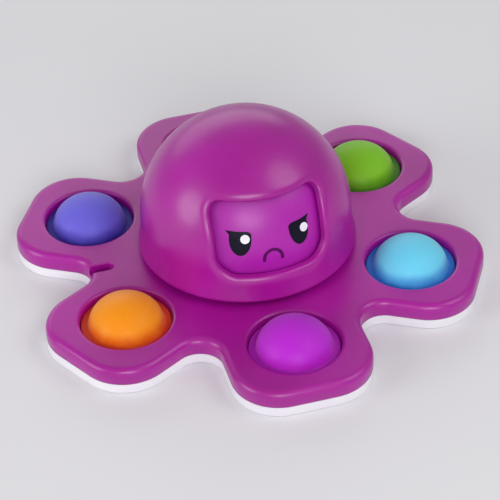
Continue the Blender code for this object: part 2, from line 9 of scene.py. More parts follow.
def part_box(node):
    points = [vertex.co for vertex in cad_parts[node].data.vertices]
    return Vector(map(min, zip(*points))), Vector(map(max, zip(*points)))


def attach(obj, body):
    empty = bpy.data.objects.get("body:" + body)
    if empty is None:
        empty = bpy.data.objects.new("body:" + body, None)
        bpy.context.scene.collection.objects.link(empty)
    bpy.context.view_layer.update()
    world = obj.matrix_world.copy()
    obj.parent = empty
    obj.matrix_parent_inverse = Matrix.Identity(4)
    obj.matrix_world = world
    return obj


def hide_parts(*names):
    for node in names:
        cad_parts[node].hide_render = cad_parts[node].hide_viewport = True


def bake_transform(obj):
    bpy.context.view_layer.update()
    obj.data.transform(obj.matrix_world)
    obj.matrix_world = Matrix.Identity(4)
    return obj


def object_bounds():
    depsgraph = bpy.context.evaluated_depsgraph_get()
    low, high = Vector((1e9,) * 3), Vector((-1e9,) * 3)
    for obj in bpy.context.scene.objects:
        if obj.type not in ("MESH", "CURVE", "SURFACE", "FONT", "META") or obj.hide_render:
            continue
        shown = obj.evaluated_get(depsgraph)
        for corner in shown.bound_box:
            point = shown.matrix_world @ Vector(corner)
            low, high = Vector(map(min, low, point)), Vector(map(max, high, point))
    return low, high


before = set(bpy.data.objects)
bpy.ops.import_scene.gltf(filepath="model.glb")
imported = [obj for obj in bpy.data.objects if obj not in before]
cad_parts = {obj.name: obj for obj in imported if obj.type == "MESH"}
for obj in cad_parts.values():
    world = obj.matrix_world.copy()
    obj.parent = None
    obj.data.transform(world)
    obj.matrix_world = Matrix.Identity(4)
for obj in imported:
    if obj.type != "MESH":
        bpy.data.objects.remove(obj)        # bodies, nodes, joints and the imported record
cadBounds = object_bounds()
mm = 0.001

# Sizes are in millimetres and angles in degrees, except where a note says metres


def fullTurn(count):
    # angles evenly spaced round the circle: 2 pi i / count
    return np.linspace(0, 2 * np.pi, count, endpoint=False)


def quarterArc(start, end, radius, steps):
    # points at radius round (0, 0) from the start angle to the end angle
    a = np.radians(np.linspace(start, end, steps + 1))
    return radius * np.stack([np.cos(a), np.sin(a)], axis=-1)


def gridFaces(rows, columns, closeRows=False, closeColumns=True):
    # each cell's four corners: (i, j), (i, j+1), (i+1, j+1), (i+1, j), counted round where the grid closes
    i = np.arange(rows if closeRows else rows - 1)[:, None]
    j = np.arange(columns if closeColumns else columns - 1)[None, :]
    nextI, nextJ = (i + 1) % rows, (j + 1) % columns
    cells = [i * columns + j, i * columns + nextJ, nextI * columns + nextJ, nextI * columns + j]
    return np.stack(np.broadcast_arrays(*cells), axis=-1).reshape(-1, 4)


def gridPatch(points, closeRows=False, closeColumns=True):
    # a grid of points, rows by columns by three, with its faces
    rows, columns = points.shape[:2]
    return points.reshape(-1, 3), gridFaces(rows, columns, closeRows, closeColumns)


def lathe(profile, steps, centre=(0, 0), closeRows=False):
    # point = centre + radius times (cos a, sin a), at the profile's height, for every angle a
    r, z = np.asarray(profile, float).T[:, :, None]
    a = fullTurn(steps)[None, :]
    x, y = centre[0] + r * np.cos(a), centre[1] + r * np.sin(a)
    return gridPatch(np.stack([x, y, z + 0 * a], axis=-1), closeRows)


def levelFill(loops, height):
    # a level face: the first loop is its outside and the others are its holes
    points = np.concatenate(loops)
    starts = np.cumsum([0] + [len(loop) for loop in loops])
    edges = [
        np.stack([np.arange(n), (np.arange(n) + 1) % n], axis=-1) + start
        for start, n in zip(starts, map(len, loops))
    ]
    mesh = bpy.data.meshes.new("levelFill")
    placed = np.column_stack([points, np.full(len(points), height)])
    mesh.from_pydata(placed.tolist(), np.concatenate(edges).tolist(), [])
    sheet = bmesh.new()
    sheet.from_mesh(mesh)
    bmesh.ops.triangle_fill(sheet, use_beauty=True, use_dissolve=False, edges=sheet.edges[:])
    faces = np.array([[v.index for v in f.verts] for f in sheet.faces])
    sheet.free()
    bpy.data.meshes.remove(mesh)
    return placed, faces


def smoothCorners(profile, radius, steps=4):
    # each corner of a closed profile becomes (1-t)^2 A + 2t(1-t) P + t^2 C, with A and C on the two edges
    points = np.asarray(profile, float)
    before, after = np.roll(points, 1, axis=0) - points, np.roll(points, -1, axis=0) - points
    reach = [np.minimum(radius, 0.45 * np.linalg.norm(d, axis=1)) for d in (before, after)]
    start = points + before * (reach[0] / np.linalg.norm(before, axis=1))[:, None]
    end = points + after * (reach[1] / np.linalg.norm(after, axis=1))[:, None]
    onAxis = points[:, 0] < 1e-6
    start[onAxis], end[onAxis] = points[onAxis], points[onAxis]
    t = np.linspace(0, 1, steps + 1)[None, :, None]
    curve = (1 - t) ** 2 * start[:, None] + 2 * t * (1 - t) * points[:, None] + t**2 * end[:, None]
    return curve.reshape(-1, 2)


def smoothStep(value, low, high):
    # 0 below low, 1 above high, 3t^2 - 2t^3 between
    t = np.clip((value - low) / (high - low), 0, 1)
    return t * t * (3 - 2 * t)


def settle(piece):
    # the piece's modifiers become its mesh
    made = piece.evaluated_get(bpy.context.evaluated_depsgraph_get())
    mesh = bpy.data.meshes.new_from_object(made)
    piece.modifiers.clear()
    piece.data = mesh


def makePiece(name, patches, material, wall=0.0, sharpAngle=32):
    # joins the patches, merges their seams and poles, points the faces out, and gives an open skin its wall
    counts = np.cumsum([0] + [len(points) for points, faces in patches])
    points = np.concatenate([points for points, faces in patches]) * mm
    faces = [face for start, patch in zip(counts, patches) for face in (patch[1] + start).tolist()]
    mesh = bpy.data.meshes.new(name)
    mesh.from_pydata(points.tolist(), [], faces)
    body = bmesh.new()
    body.from_mesh(mesh)
    bmesh.ops.remove_doubles(body, verts=body.verts, dist=2e-7)
    bmesh.ops.dissolve_degenerate(body, edges=body.edges, dist=1e-8)
    bmesh.ops.recalc_face_normals(body, faces=body.faces)
    body.to_mesh(mesh)
    body.free()
    piece = bpy.data.objects.new(name, mesh)
    bpy.context.scene.collection.objects.link(piece)
    if wall:
        thicken = piece.modifiers.new("wall", "SOLIDIFY")
        thicken.thickness = wall * mm
        thicken.offset = -1
        settle(piece)
    piece.data.materials.clear()
    piece.data.materials.append(material)
    piece.data.shade_smooth()
    piece.data.set_sharp_from_angle(angle=math.radians(sharpAngle))
    return piece


def carve(piece, other, operation, sharpAngle=32):
    # adds the other closed piece to this one, or cuts it away, and the other is gone
    step = piece.modifiers.new("carve", "BOOLEAN")
    step.operation = operation
    step.solver = "EXACT"
    step.object = other
    settle(piece)
    bpy.data.objects.remove(other)
    piece.data.shade_smooth()
    piece.data.set_sharp_from_angle(angle=math.radians(sharpAngle))


def stand(piece, body, slot, *nodes):
    # the piece rides on its body in place of the plain solids that it details
    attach(piece, body)
    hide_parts(*nodes)
    return piece


def linear(display):
    # display colour 0 to 255, to linear light by the usual curve: ((c + 0.055) / 1.055) to the power 2.4
    c = np.asarray(display, float) / 255
    return (*np.where(c <= 0.04045, c / 12.92, ((c + 0.055) / 1.055) ** 2.4).tolist(), 1.0)


def addNode(tree, kind, inputs=None, **settings):
    # a shader node with its settings; each input is a link from a socket, or a plain value
    made = tree.nodes.new("ShaderNode" + kind)
    for key, value in settings.items():
        setattr(made, key, value)
    for key, value in (inputs or {}).items():
        if isinstance(value, bpy.types.NodeSocket):
            tree.links.new(value, made.inputs[key])
        else:
            made.inputs[key].default_value = value
    return made


def noise(tree, where, scale, detail=3.0, roughness=0.5):
    # fractal noise from 0 to 1; scale is its coarsest lumps per metre
    values = {"Vector": where, "Scale": scale, "Detail": detail, "Roughness": roughness}
    return addNode(tree, "TexNoise", values).outputs["Fac"]


def remap(tree, value, fromLow, fromHigh, toLow, toHigh):
    # the straight line from (fromLow, toLow) to (fromHigh, toHigh), held level past its ends
    values = {"Value": value, "From Min": fromLow, "From Max": fromHigh, "To Min": toLow, "To Max": toHigh}
    return addNode(tree, "MapRange", values).outputs["Result"]


def blendColour(tree, share, first, second):
    # first + share times (second - first)
    mix = addNode(tree, "Mix", data_type="RGBA")
    for socket, value in ((mix.inputs[0], share), (mix.inputs[6], first), (mix.inputs[7], second)):
        if isinstance(value, bpy.types.NodeSocket):
            tree.links.new(value, socket)
        else:
            socket.default_value = value
    return mix.outputs[2]


def addBump(tree, height, strength, distance, under=None):
    # tilts the surface by the slope of the height, over any bump that lies under it
    values = {"Height": height, "Strength": strength, "Distance": distance * mm}
    if under is not None:
        values["Normal"] = under
    return addNode(tree, "Bump", values).outputs["Normal"]


def startMaterial(name, fixed):
    # a fresh material, its tree, its shader and its object coordinates
    material = bpy.data.materials.new(name)
    material.use_nodes = True
    tree = material.node_tree
    shader = tree.nodes["Principled BSDF"]
    for key, value in fixed.items():
        shader.inputs[key].default_value = value
    where = addNode(tree, "TexCoord").outputs["Object"]
    return material, tree, shader, where


def connect(tree, shader, colour, roughness, normal):
    # the shader's colour, gloss and relief follow the nodes
    tree.links.new(colour, shader.inputs["Base Color"])
    tree.links.new(roughness, shader.inputs["Roughness"])
    tree.links.new(normal, shader.inputs["Normal"])


# Moulded ABS: a slow drift of colour from the melt, a fine orange peel, and handling marks in the gloss
plasticLooks = {
    "purplePlastic": {
        "light": (174, 10, 156), "dark": (160, 5, 140), "fleck": (186, 26, 172),
        "gloss": (0.31, 0.41), "coat": 0.12, "peel": 0.03,
    },
    "drumPlastic": {
        "light": (182, 20, 178), "dark": (170, 12, 164), "fleck": (194, 44, 190),
        "gloss": (0.38, 0.48), "coat": 0.05, "peel": 0.03,
    },
    "whitePlastic": {
        "light": (244, 241, 247), "dark": (233, 229, 238), "fleck": (214, 208, 222),
        "gloss": (0.34, 0.46), "coat": 0.05, "peel": 0.04,
    },
}


def makePlastic(name):
    # colour drifts from dark to light with drawn-out flecks; gloss follows the handling; two bumps add up
    look = plasticLooks[name]
    fixed = {
        "IOR": 1.53, "Coat Weight": look["coat"], "Coat Roughness": 0.16,
        "Subsurface Weight": 0.06, "Subsurface Radius": (0.8, 0.5, 0.8), "Subsurface Scale": 0.002,
    }
    material, tree, shader, where = startMaterial(name, fixed)
    drift = remap(tree, noise(tree, where, 38, 2), 0.35, 0.65, 0, 1)
    drawnOut = addNode(tree, "VectorMath", {0: where, 1: (3, 1, 5)}, operation="MULTIPLY").outputs[0]
    swirl = noise(tree, drawnOut, 60, 4)
    colour = blendColour(tree, drift, linear(look["dark"]), linear(look["light"]))
    fleck = remap(tree, swirl, 0.6, 0.85, 0, 0.25)
    colour = blendColour(tree, fleck, colour, linear(look["fleck"]))
    handled = noise(tree, where, 95, 5, 0.62)
    roughness = remap(tree, handled, 0.35, 0.7, *look["gloss"])
    peel = addBump(tree, noise(tree, where, 1100, 2), look["peel"], 0.05)
    ripple = addBump(tree, noise(tree, where, 90, 1), 0.04, 0.1, peel)
    connect(tree, shader, colour, roughness, ripple)
    return material


# Silicone: dull and slightly see-through, with painted shade that darkens its colour down in its well, and
# fine lint and dust
siliconeLooks = {
    # dome: the silicone's own colour; the second colour is painted shade for the ring down in the well
    "magenta": {"dome": (190, 34, 212), "wellShade": (186, 14, 190)},
    "cyan": {"dome": (112, 214, 248), "wellShade": (24, 112, 210)},
    "green": {"dome": (128, 196, 30), "wellShade": (62, 126, 2)},
    "red": {"dome": (236, 52, 56), "wellShade": (178, 8, 20)},
    "violet": {"dome": (112, 104, 224), "wellShade": (40, 12, 150)},
    "orange": {"dome": (255, 150, 4), "wellShade": (218, 50, 0)},
}
siliconeSkin = {
    "fadeStart": 8.7,  # distance from the bubble's axis at which the painted shade of the well starts
    "fadeEnd": 11.0,
    "wander": 0.4,
    "lint": (240, 236, 242),
}


def makeSilicone(name, centre):
    # colour by distance from the bubble's own axis
    look, skin = siliconeLooks[name], siliconeSkin
    fixed = {
        "IOR": 1.41, "Subsurface Weight": 0.3, "Subsurface Radius": (1.0, 0.7, 0.7),
        "Subsurface Scale": 0.0022, "Sheen Weight": 0.12, "Sheen Roughness": 0.5,
        "Specular IOR Level": 0.35,
    }
    material, tree, shader, where = startMaterial("silicone" + name.capitalize(), fixed)
    axis = (centre[0] * mm, centre[1] * mm, 0)
    fromAxis = addNode(tree, "VectorMath", {0: where, 1: axis}, operation="SUBTRACT").outputs[0]
    level = addNode(tree, "VectorMath", {0: fromAxis, 1: (1, 1, 0)}, operation="MULTIPLY").outputs[0]
    distance = addNode(tree, "VectorMath", {0: level}, operation="LENGTH").outputs[1]
    wander = remap(tree, noise(tree, where, 260, 3), 0, 1, -skin["wander"] * mm, skin["wander"] * mm)
    mottled = addNode(tree, "Math", {0: distance, 1: wander}, operation="ADD").outputs[0]
    # painted shade: the colour darkens from the dome's own colour outwards onto the ring in the well
    fade = {"Value": mottled, "From Min": skin["fadeStart"] * mm, "From Max": skin["fadeEnd"] * mm}
    share = addNode(tree, "MapRange", fade, interpolation_type="SMOOTHSTEP").outputs["Result"]
    colour = blendColour(tree, share, linear(look["dome"]), linear(look["wellShade"]))
    lint = remap(tree, noise(tree, where, 1900, 4, 0.7), 0.68, 0.8, 0, 0.15)
    colour = blendColour(tree, lint, colour, linear(skin["lint"]))
    roughness = remap(tree, noise(tree, where, 320, 4, 0.6), 0.3, 0.7, 0.42, 0.58)
    grain = addBump(tree, noise(tree, where, 1500, 3), 0.06, 0.05)
    connect(tree, shader, colour, roughness, grain)
    return material


steelLook = {"light": (196, 198, 204), "dark": (150, 152, 158), "rough": (0.16, 0.34), "ringsPerMm": 5}


def makeSteel():
    # turned steel: fine rings round the spin axis in the height field, and a mottled oil film in the gloss
    material, tree, shader, where = startMaterial("turnedSteel", {"Metallic": 1.0})
    flat = addNode(tree, "VectorMath", {0: where, 1: (1, 1, 0)}, operation="MULTIPLY").outputs[0]
    radius = addNode(tree, "VectorMath", {0: flat}, operation="LENGTH").outputs[1]
    turnsPerMetre = steelLook["ringsPerMm"] * 2 * math.pi / mm
    turns = addNode(tree, "Math", {0: radius, 1: turnsPerMetre}, operation="MULTIPLY").outputs[0]
    rings = addNode(tree, "Math", {0: turns}, operation="SINE").outputs[0]
    film = noise(tree, where, 420, 4, 0.6)
    colour = blendColour(tree, film, linear(steelLook["dark"]), linear(steelLook["light"]))
    roughness = remap(tree, film, 0.3, 0.7, *steelLook["rough"])
    turned = addBump(tree, rings, 0.12, 0.01)
    connect(tree, shader, colour, roughness, turned)
    return material


inkLooks = {
    "eyeInk": {"light": (8, 3, 34), "dark": (4, 1, 22)},
    "mouthInk": {"light": (98, 4, 96), "dark": (78, 0, 80)},
    "whiteInk": {"light": (250, 248, 252), "dark": (236, 230, 242)},
    "tongueInk": {"light": (240, 96, 150), "dark": (222, 74, 128)},
}


def makeInk(name):
    # pad-printed ink: slightly uneven cover and a soft gloss
    look = inkLooks[name]
    material, tree, shader, where = startMaterial(name, {"Specular IOR Level": 0.22})
    cover = remap(tree, noise(tree, where, 700, 5, 0.65), 0.35, 0.65, 0, 1)
    colour = blendColour(tree, cover, linear(look["dark"]), linear(look["light"]))
    roughness = remap(tree, cover, 0, 1, 0.3, 0.42)
    grain = addBump(tree, noise(tree, where, 2400, 2), 0.06, 0.02)
    connect(tree, shader, colour, roughness, grain)
    return material


purplePlastic, drumPlastic, whitePlastic = (makePlastic(name) for name in plasticLooks)
steel = makeSteel()
inks = {name: makeInk(name) for name in inkLooks}
print("materials made")


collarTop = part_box("top_shell")[1].z / mm
bottomHigh = 3.0  # where the two shells meet
plateTop = 7.8
legs = {
    "count": 6,
    "first": -90,  # the leg under the face
    "circle": 46.0,  # centre to each bubble
    "halfWidth": 19.0,
    "corner": 13.0,
    "valley": 6.5,
    "topRound": 1.8,
    "bottomRound": 0.5,
    "band": 0.4,  # level strip kept beside every rounding
    "arcSteps": 14,
    "seam": 0.12,  # bevel where the shells meet
    "gapOver": 0.04,  # between the meeting line and the upper shell
    "gapUnder": 0.02,
    "wall": 1.2,
    "lowerWall": 0.65,
}
well = {
    "radius": 12.4, "round": 0.9, "steps": 96,
    "upperEnd": 3.85,  # the upper shell's part stops just over the bubble's flange
    "lowerEnd": bottomHigh - 0.05,
}
legAngles = np.radians(legs["first"] + 360 / legs["count"] * np.arange(legs["count"]))
bubbleCentres = legs["circle"] * np.stack([np.cos(legAngles), np.sin(legAngles)], axis=-1)


def legOutline(inset):
    # two corner arcs and a valley arc as centre + radius e^(ia), turned onto every leg in the complex plane
    half = np.pi / legs["count"]
    corner = legs["corner"] - inset
    middle = legs["circle"] + legs["halfWidth"] - legs["corner"]
    side = legs["halfWidth"] - legs["corner"]
    valley = (legs["halfWidth"] + legs["valley"]) / math.sin(half) * np.exp(1j * half)
    quarter = np.linspace(0, np.pi / 2, legs["arcSteps"] + 1)
    sweep = -np.pi / 2 - np.linspace(0, np.pi - 2 * half, legs["arcSteps"] + 1)
    leg = np.concatenate([
        middle - 1j * side + corner * np.exp(1j * (quarter - np.pi / 2)),
        middle + 1j * side + corner * np.exp(1j * quarter),
        valley + (legs["valley"] + inset) * np.exp(1j * sweep),
    ])
    points = (np.exp(1j * legAngles)[:, None] * leg[None, :]).ravel()
    return np.stack([points.real, points.imag], axis=-1)


def edgeStrip(levels):
    # the outline moved in by each level's inset, at its height
    rings = [np.column_stack([legOutline(inset), np.full(len(legOutline(inset)), z)]) for inset, z in levels]
    return gridPatch(np.array(rings))


def circlePoints(radius, steps, centre=(0, 0)):
    # centre + radius times (cos a, sin a)
    a = fullTurn(steps)
    return np.stack([centre[0] + radius * np.cos(a), centre[1] + radius * np.sin(a)], axis=-1)


def holeProfile(radius, rounding, face, outwards, below):
    # level band, round lip, then straight into the shell and on through the points in below
    lip = quarterArc(90, 180, rounding, 6)
    lip = np.stack([radius + rounding + lip[:, 0], face + outwards * (lip[:, 1] - rounding)], axis=-1)
    band = [(radius + rounding + legs["band"], face)]
    return np.concatenate([band, lip, below])


def shellPatches(face, levels, holes):
    # the edge strip, a lathed wall for each hole (profile, centre, steps), and the level face between them
    patches = [edgeStrip(levels)]
    loops = [legOutline(levels[-1][0])]
    for profile, centre, steps in holes:
        patches.append(lathe(profile, steps, centre))
        loops.append(circlePoints(profile[0][0], steps, centre))
    patches.append(levelFill(loops, face))
    return patches


def edgeLevels(seamHeight, face, rounding, outwards):
    # (inset, height) from the seam's bevel, straight to a quarter circle, and on to a level band
    arc = quarterArc(0, 90, rounding, 8)
    levels = [(legs["seam"], seamHeight), (0, seamHeight + outwards * 2 * legs["seam"])]
    levels += [(rounding - x, face + outwards * (y - rounding)) for x, y in arc.tolist()]
    return levels + [(rounding + legs["band"], face)]


collar = {"outer": 10.1, "inner": 7.7, "round": 0.3, "steps": 64}
valleySlot = {
    "valley": 180,  # its direction from the middle
    "innerEnd": 38.1,
    "edge": 44.5,  # the valley's innermost point
    "halfWidth": 1.55,
    "depth": 3.0,
    "bevel": 0.35,
    "wall": 1.2,
    "floorWall": 0.8,
    "tuck": 0.5,  # its walls stop this far under the plate's top
    "setBack": 0.7,  # and this far inside the valley's edge
    "past": 5.0,  # the cutter runs this far past the edge
    "over": 1.0,  # and this far over the plate
}


def slotBar(name, inner, outer, levels):
    # strips with a round inner end, one for each (growth, height), closed by a centre point at both ends
    a = np.linspace(np.pi / 2, 3 * np.pi / 2, 17)
    rings = []
    for grow, z in levels:
        half = valleySlot["halfWidth"] + grow
        roundEnd = inner + valleySlot["halfWidth"] + half * np.exp(1j * a)
        strip = np.concatenate([roundEnd, [outer - 1j * half, outer + 1j * half]])
        strip = strip * np.exp(1j * math.radians(valleySlot["valley"]))
        rings.append(np.column_stack([strip.real, strip.imag, np.full(len(strip), z)]))
    rings = [rings[0] * 0 + rings[0].mean(axis=0)] + rings + [rings[-1] * 0 + rings[-1].mean(axis=0)]
    return makePiece(name, [gridPatch(np.array(rings))], purplePlastic)


def makeTopShell():
    # an open skin given its wall, then the slot's walls added and its opening cut away
    wellEnd = [(well["radius"], well["upperEnd"])]
    wellProfile = holeProfile(well["radius"], well["round"], plateTop, 1, wellEnd)
    r, top = collar["round"], collarTop
    collarProfile = np.array([
        (collar["outer"] + 2 * legs["band"], plateTop), (collar["outer"] + r, plateTop),
        (collar["outer"], plateTop + r), (collar["outer"], top - r), (collar["outer"] - r, top),
        (collar["inner"] + r, top), (collar["inner"], top - r), (collar["inner"], plateTop),
    ])
    holes = [(wellProfile, centre, well["steps"]) for centre in bubbleCentres]
    holes.append((collarProfile, (0, 0), collar["steps"]))
    levels = edgeLevels(bottomHigh + legs["gapOver"], plateTop, legs["topRound"], 1)
    patches = shellPatches(plateTop, levels, holes)
    piece = makePiece("upperLegShell", patches, purplePlastic, wall=legs["wall"])
    v = valleySlot
    floor = plateTop - v["depth"]
    surround = [(v["wall"], floor - v["floorWall"]), (v["wall"], plateTop - v["tuck"])]
    carve(piece, slotBar("slotWalls", v["innerEnd"], v["edge"] - v["setBack"], surround), "UNION")
    opening = [
        (0, floor), (0, plateTop - v["bevel"]), (v["bevel"], plateTop), (v["bevel"], plateTop + v["over"]),
    ]
    carve(piece, slotBar("slotOpening", v["innerEnd"], v["edge"] + v["past"], opening), "DIFFERENCE")
    return stand(piece, "legs", "purple_plastic", "top_shell")


knobRoom = {"radius": 16.8, "round": 0.5, "ceiling": 3.0, "hole": 5.2, "holeRise": 0.2, "steps": 128}
screwRoom = {
    "circle": 35.0, "radius": 2.4, "round": 0.3, "seat": 1.75, "shank": 1.3, "shankRise": 0.6, "steps": 40,
}
screwAngles = legAngles + np.pi / legs["count"]
screwCentres = screwRoom["circle"] * np.stack([np.cos(screwAngles), np.sin(screwAngles)], axis=-1)


def makeBottomShell():
    # an open skin with its wells, the knob's room and the screws' rooms, given its wall
    wellEnd = [(well["radius"], well["lowerEnd"])]
    wellProfile = holeProfile(well["radius"], well["round"], 0, -1, wellEnd)
    k, s = knobRoom, screwRoom
    ceiling, seat = k["ceiling"], s["seat"]
    knobEnd = [(k["radius"], ceiling), (k["hole"], ceiling), (k["hole"], ceiling + k["holeRise"])]
    knobProfile = holeProfile(k["radius"], k["round"], 0, -1, knobEnd)
    screwEnd = [(s["radius"], seat), (s["shank"], seat), (s["shank"], seat + s["shankRise"])]
    screwProfile = holeProfile(s["radius"], s["round"], 0, -1, screwEnd)
    holes = [(wellProfile, centre, well["steps"]) for centre in bubbleCentres]
    holes += [(screwProfile, centre, s["steps"]) for centre in screwCentres]
    holes.append((knobProfile, (0, 0), k["steps"]))
    levels = edgeLevels(bottomHigh - legs["gapUnder"], 0, legs["bottomRound"], -1)
    patches = shellPatches(0, levels, holes)
    piece = makePiece("lowerLegShell", patches, whitePlastic, wall=legs["lowerWall"])
    return stand(piece, "legs", "white_plastic", "bottom_shell")


makeTopShell()
makeBottomShell()
print("leg shells made")


bubble = {
    "flangeLow": 3.0,
    "flangeHigh": 3.8,
    "flangeRadius": 13.9,
    "step": 12.2,  # radius of the raised part that fills the well
    "ledge": 5.9,  # height of the level ring round the dome
    "radius": 10.15,
    "height": 7.95,
    "wall": 1.1,
    "foot": 82,  # angle from the crown at which the dome turns into its foot
    "footWidth": 0.8,
    "footLean": 0.1,
    "edge": 0.35,
    "fillet": 0.2,  # between the step and its flange
    "flangeBevel": 0.15,
    "innerFillet": 0.3,
    "steps": 96,
    "fold": 10.8,  # height over which the membrane gives way as it pops
}


def bubbleProfile():
    # dome: half an ellipse; foot: (1-t)^2 A + 2t(1-t) P + t^2 C, from the dome onto the ledge; then the step,
    # the flange, and the inside as the same ellipse less the wall
    b = bubble
    a = np.radians(np.linspace(0, b["foot"], 30))
    dome = np.stack([b["radius"] * np.sin(a), b["ledge"] + b["height"] * np.cos(a)], axis=-1)
    t = np.linspace(0, 1, 9)[1:, None]
    onLedge = (b["radius"] + b["footWidth"], b["ledge"])
    bend = (b["radius"] + b["footLean"], b["ledge"])
    foot = (1 - t) ** 2 * dome[-1] + 2 * t * (1 - t) * bend + t**2 * onLedge
    ledgeEdge = quarterArc(90, 0, b["edge"], 5) + [b["step"] - b["edge"], b["ledge"] - b["edge"]]
    inStep, inDome, underLedge = b["step"] - b["wall"], b["radius"] - b["wall"], b["ledge"] - b["wall"]
    bevel, outer = b["flangeBevel"], b["flangeRadius"]
    flange = np.array([
        (b["step"], b["flangeHigh"] + b["fillet"]), (b["step"] + b["fillet"], b["flangeHigh"]),
        (outer - bevel, b["flangeHigh"]), (outer, b["flangeHigh"] - bevel),
        (outer, b["flangeLow"] + bevel), (outer - bevel, b["flangeLow"]),
        (inStep, b["flangeLow"]), (inStep, underLedge),
        (inDome + b["innerFillet"], underLedge), (inDome, underLedge + b["innerFillet"]),
    ])
    a = np.radians(np.linspace(90, 0, 30))
    inside = np.stack([inDome * np.sin(a), b["ledge"] + (b["height"] - b["wall"]) * np.cos(a)], axis=-1)
    inside[-1, 0] = 0
    return np.concatenate([dome, foot, ledgeEdge, flange, inside])


def makeBubble(colour, centre):
    # one membrane: its section swept round the bubble's centre, in place of the crown and skirt solids
    patches = [lathe(bubbleProfile(), bubble["steps"], centre)]
    piece = makePiece("bubble" + colour.capitalize(), patches, makeSilicone(colour, centre), sharpAngle=60)
    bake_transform(piece)
    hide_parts("bubble_crown_" + colour, "bubble_skirt_" + colour)
    return piece


for colour, centre in zip(siliconeLooks, bubbleCentres):
    makeBubble(colour, centre)
print("bubbles made")


head = {
    "radius": 29.0,
    "centre": 18.15,  # height of the dome's centre
    "base": 9.2,
    "flare": 1.3,
    "rimRound": 0.8,
    "wall": 2.2,
    "columns": 288,
    "pastLip": (0.4, 1, 1.8),  # rows of points this far outside the window's lip
    "beforeRim": (1.6, 1.35, 1.1, 0.9, 0.7, 0.5, 0.35, 0.2, 0.1, 0),  # and this far from the rim
}
window = {
    "side": 0.3,  # its middle, to the right of the head's
    "halfWidth": 15.7,
    "low": 16.6,
    "high": 37.0,
    "cornerHigh": 3.8,
    "cornerLow": 5.8,
    "lipWidth": 2.4,
    "lipDepth": 1.0,
}


def flareRadius(z):
    # the head's radius at a height: a sphere over its centre, and under it radius + flare times drop squared
    above = np.sqrt(np.clip(head["radius"] ** 2 - (z - head["centre"]) ** 2, 0, None))
    drop = (head["centre"] - z) / (head["centre"] - head["base"])
    return np.where(z > head["centre"], above, head["radius"] + head["flare"] * drop**2)


def headProfiles():
    # outside and inside, point by point from the crown to the rim, and the length run along the outside
    a = np.linspace(0, np.pi / 2, 240)
    sphere = np.stack([np.sin(a), np.cos(a)], axis=-1)
    rimRadius = flareRadius(np.array(head["base"] + head["rimRound"]))
    z = np.linspace(head["centre"], head["base"] + head["rimRound"], 60)[1:]
    skirt = np.stack([flareRadius(z), z], axis=-1)
    rim = quarterArc(0, -90, head["rimRound"], 12)[1:]
    rim = rim + [rimRadius - head["rimRound"], head["base"] + head["rimRound"]]
    outside = np.concatenate([head["radius"] * sphere + [0, head["centre"]], skirt, rim])
    wall = head["wall"]
    rimHeights = np.linspace(z[-1], head["base"], len(rim) + 1)[1:]
    rimInside = np.stack([np.full(len(rim), rimRadius - wall), rimHeights], axis=-1)
    domeInside = (head["radius"] - wall) * sphere + [0, head["centre"]]
    inside = np.concatenate([domeInside, skirt - [wall, 0], rimInside])
    length = np.concatenate([[0], np.cumsum(np.linalg.norm(np.diff(outside, axis=0), axis=1))])
    return outside, inside, length


def windowEdge(count):
    # points evenly spaced round a rounded rectangle, from the middle of its right side, anticlockwise
    w = window
    middle, halfHeight = (w["low"] + w["high"]) / 2, (w["high"] - w["low"]) / 2
    path = [[(w["halfWidth"], 0)]]
    corners = ((0, 1, 1, "cornerHigh"), (90, -1, 1, "cornerHigh"), (180, -1, -1, "cornerLow"),
               (270, 1, -1, "cornerLow"))
    for start, right, up, corner in corners:
        centre = (right * (w["halfWidth"] - w[corner]), up * (halfHeight - w[corner]))
        path.append(quarterArc(start, start + 90, w[corner], 24) + centre)
    path = np.concatenate(path + [path[0]])
    along = np.concatenate([[0], np.cumsum(np.linalg.norm(np.diff(path, axis=0), axis=1))])
    at = np.linspace(0, along[-1], count, endpoint=False)
    return w["side"] + np.interp(at, along, path[:, 0]), middle + np.interp(at, along, path[:, 1])


def distanceToWindow(x, z):
    # signed distance in the front view to the rounded rectangle, and the direction in which it grows
    w = window
    middle, halfHeight = (w["low"] + w["high"]) / 2, (w["high"] - w["low"]) / 2
    corner = np.where(z > middle, w["cornerHigh"], w["cornerLow"])
    qx = np.abs(x - w["side"]) - (w["halfWidth"] - corner)
    qz = np.abs(z - middle) - (halfHeight - corner)
    px, pz = np.maximum(qx, 0), np.maximum(qz, 0)
    outside = np.hypot(px, pz)
    distance = outside + np.minimum(np.maximum(qx, qz), 0) - corner
    safe = np.maximum(outside, 1e-9)
    return distance, px / safe * np.sign(x - w["side"]), pz / safe * np.sign(z - middle)


